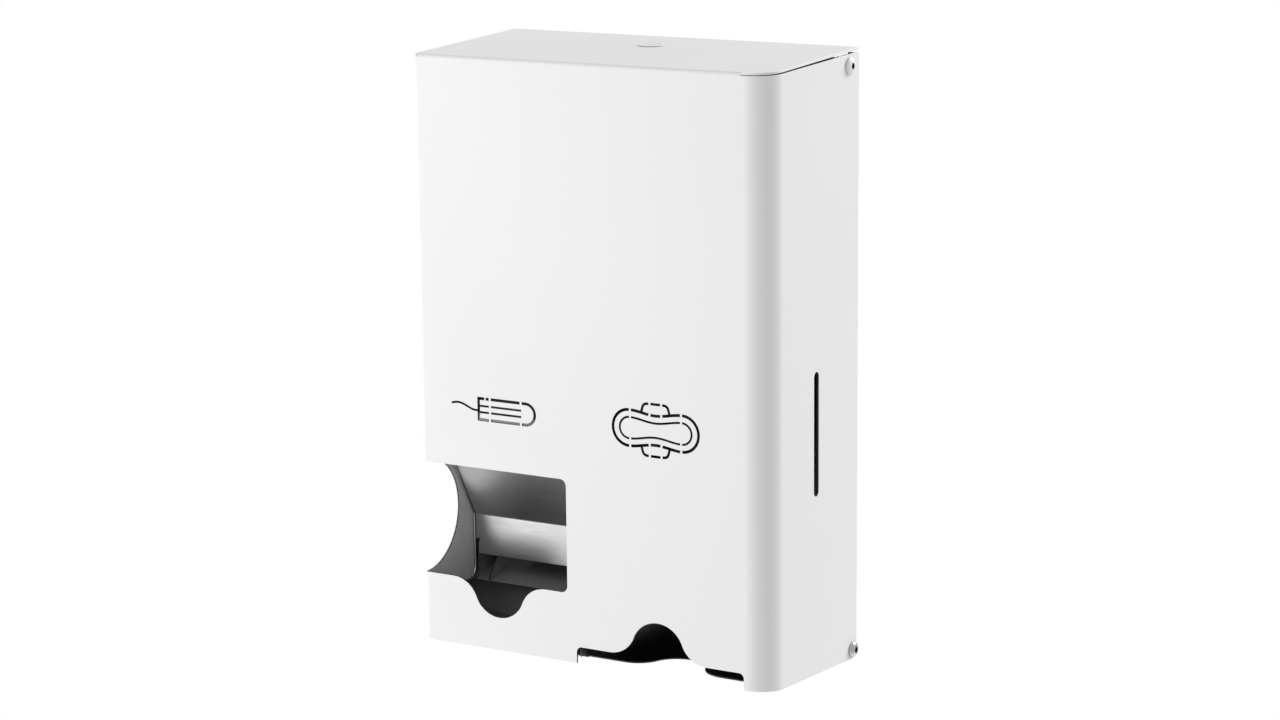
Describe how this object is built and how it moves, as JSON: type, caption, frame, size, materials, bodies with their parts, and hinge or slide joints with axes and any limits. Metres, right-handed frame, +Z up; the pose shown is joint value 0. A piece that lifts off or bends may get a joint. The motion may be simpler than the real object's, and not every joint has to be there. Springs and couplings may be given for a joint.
{
  "type": "wall-mounted tampon and pad dispenser",
  "caption": "White sheet-steel wall dispenser for tampons and pads: hinged locking cover, open corner window and trough for tampons, slot under the front edge for pads, sight slot in one side.",
  "frame": {"origin": "on the wall plane, at the rear face of the back plate, on its centre line and 195 mm above the front panel's lower edge", "axes": "+Y into the wall, so the front faces -Y; +Z up; +X to the right as seen from the front"},
  "size_m": [0.2702, 0.126, 0.4123],
  "materials": {
    "white_paint": "semi-matt white powder coat",
    "black_paint": "fine matt black powder coat",
    "brushed_sheet": "brushed stainless sheet",
    "fastener_steel": "bright plain steel",
    "lock_plating": "nickel-plated",
    "nylon": "natural nylon"
  },
  "bodies": {
    "frame": {"back_frame": "brushed_sheet", "divider_plate": "brushed_sheet", "tampon_chute_plate": "brushed_sheet", "tampon_trough": "black_paint", "pad_guard_plate": "black_paint", "pad_tray": "black_paint", "lock_keeper": "brushed_sheet", "divider_rivet_1": "fastener_steel", "divider_rivet_2": "fastener_steel", "keeper_rivet_1": "fastener_steel", "keeper_rivet_2": "fastener_steel", "tray_rivet_1": "fastener_steel", "tray_rivet_2": "fastener_steel", "trough_rivet_1": "fastener_steel", "trough_rivet_2": "fastener_steel", "hinge_screw_left": "fastener_steel", "hinge_screw_right": "fastener_steel", "hinge_bush_left": "nylon", "hinge_bush_right": "nylon", "hinge_nut_left": "fastener_steel", "hinge_nut_right": "fastener_steel"},
    "cover": {"front_cover": "white_paint", "locating_screw_left": "white_paint", "locating_screw_right": "white_paint", "locating_collar_left": "fastener_steel", "locating_collar_right": "fastener_steel", "lock_body": "white_paint", "lock_nut": "lock_plating"},
    "lock": {"lock_plug": "white_paint", "lock_cam": "lock_plating", "lock_cam_screw": "lock_plating"}
  },
  "joints": [
    {"name": "cover_hinge", "type": "hinge", "parent": "frame", "child": "cover", "pos_m": [0, -0.0071, -0.1968], "axis": [1, 0, 0], "range_deg": [0, 80]},
    {"name": "lock_turn", "type": "hinge", "parent": "cover", "child": "lock", "pos_m": [-0.001, -0.04, 0.20773], "axis": [0, -0.0317, 0.9995], "range_deg": [0, 90]}
  ]
}
